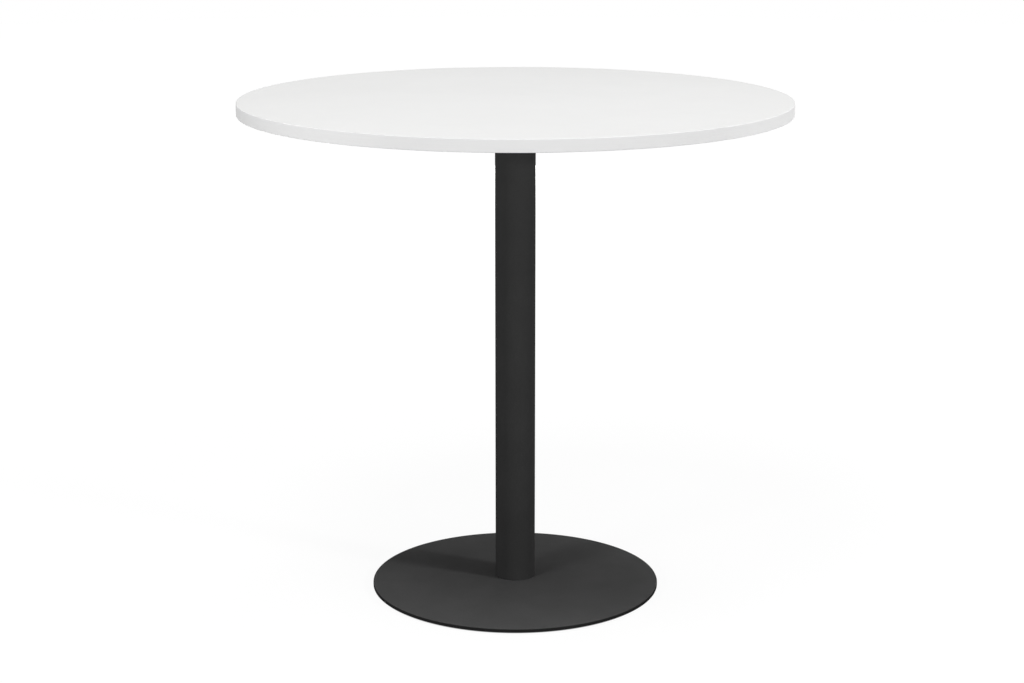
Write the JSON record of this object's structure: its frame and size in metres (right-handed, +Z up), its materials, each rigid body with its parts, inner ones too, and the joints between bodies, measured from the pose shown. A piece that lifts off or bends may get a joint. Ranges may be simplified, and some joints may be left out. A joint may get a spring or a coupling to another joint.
{
  "type": "bar table",
  "caption": "Round bar-height table: white laminate top on one round steel column and a low weighted disc base with levelling glides.",
  "frame": {"origin": "on the floor, on the column's axis, level with the undersides of the four glide pads", "axes": "+Z up the column, -Y towards the viewer; the spider's arms lie along X and Y, the glides on the diagonals"},
  "size_m": [1.2, 1.2, 1.105],
  "materials": {
    "white_laminate": "white high-pressure laminate, fine satin texture",
    "white_edging": "white ABS edge band, satin",
    "particleboard": "raw particleboard",
    "powder_coat": "charcoal powder coat, fine matt texture",
    "cast_iron": "black-lacquered casting",
    "zinc_steel": "bright zinc plate",
    "nylon": "black moulded nylon"
  },
  "bodies": {
    "table": {"top_core": "particleboard", "top_laminate": "white_laminate", "balance_laminate": "white_laminate", "edge_band": "white_edging", "top_spider": "cast_iron", "spider_screws": "zinc_steel", "column_tube": "powder_coat", "tie_rod": "zinc_steel", "tie_rod_nuts": "zinc_steel", "tie_rod_washers": "zinc_steel", "spring_washer": "zinc_steel", "base_cover": "powder_coat", "base_ballast": "cast_iron"},
    "pad_1": {"glide_pad_1": "nylon"},
    "pad_2": {"glide_pad_2": "nylon"},
    "pad_3": {"glide_pad_3": "nylon"},
    "pad_4": {"glide_pad_4": "nylon"},
    "stud_1": {"glide_stud_1": "zinc_steel"},
    "stud_2": {"glide_stud_2": "zinc_steel"},
    "stud_3": {"glide_stud_3": "zinc_steel"},
    "stud_4": {"glide_stud_4": "zinc_steel"}
  },
  "joints": [
    {"name": "glide_1_level", "type": "slide", "parent": "table", "child": "pad_1", "axis": [0, 0, -1], "range_m": [0, 0.0035]},
    {"name": "glide_2_level", "type": "slide", "parent": "table", "child": "pad_2", "axis": [0, 0, -1], "range_m": [0, 0.0035]},
    {"name": "glide_3_level", "type": "slide", "parent": "table", "child": "pad_3", "axis": [0, 0, -1], "range_m": [0, 0.0035]},
    {"name": "glide_4_level", "type": "slide", "parent": "table", "child": "pad_4", "axis": [0, 0, -1], "range_m": [0, 0.0035]},
    {"name": "glide_1_turn", "type": "hinge", "parent": "pad_1", "child": "stud_1", "pos_m": [0.18031, 0.18031, 0.006], "axis": [0, 0, -1], "range_deg": [0, 1080]},
    {"name": "glide_2_turn", "type": "hinge", "parent": "pad_2", "child": "stud_2", "pos_m": [-0.18031, 0.18031, 0.006], "axis": [0, 0, -1], "range_deg": [0, 1080]},
    {"name": "glide_3_turn", "type": "hinge", "parent": "pad_3", "child": "stud_3", "pos_m": [-0.18031, -0.18031, 0.006], "axis": [0, 0, -1], "range_deg": [0, 1080]},
    {"name": "glide_4_turn", "type": "hinge", "parent": "pad_4", "child": "stud_4", "pos_m": [0.18031, -0.18031, 0.006], "axis": [0, 0, -1], "range_deg": [0, 1080]}
  ],
  "couplings": [
    {"joint": "glide_1_turn", "follows": "glide_1_level", "rad_per_m": 5026.5},
    {"joint": "glide_2_turn", "follows": "glide_2_level", "rad_per_m": 5026.5},
    {"joint": "glide_3_turn", "follows": "glide_3_level", "rad_per_m": 5026.5},
    {"joint": "glide_4_turn", "follows": "glide_4_level", "rad_per_m": 5026.5}
  ]
}
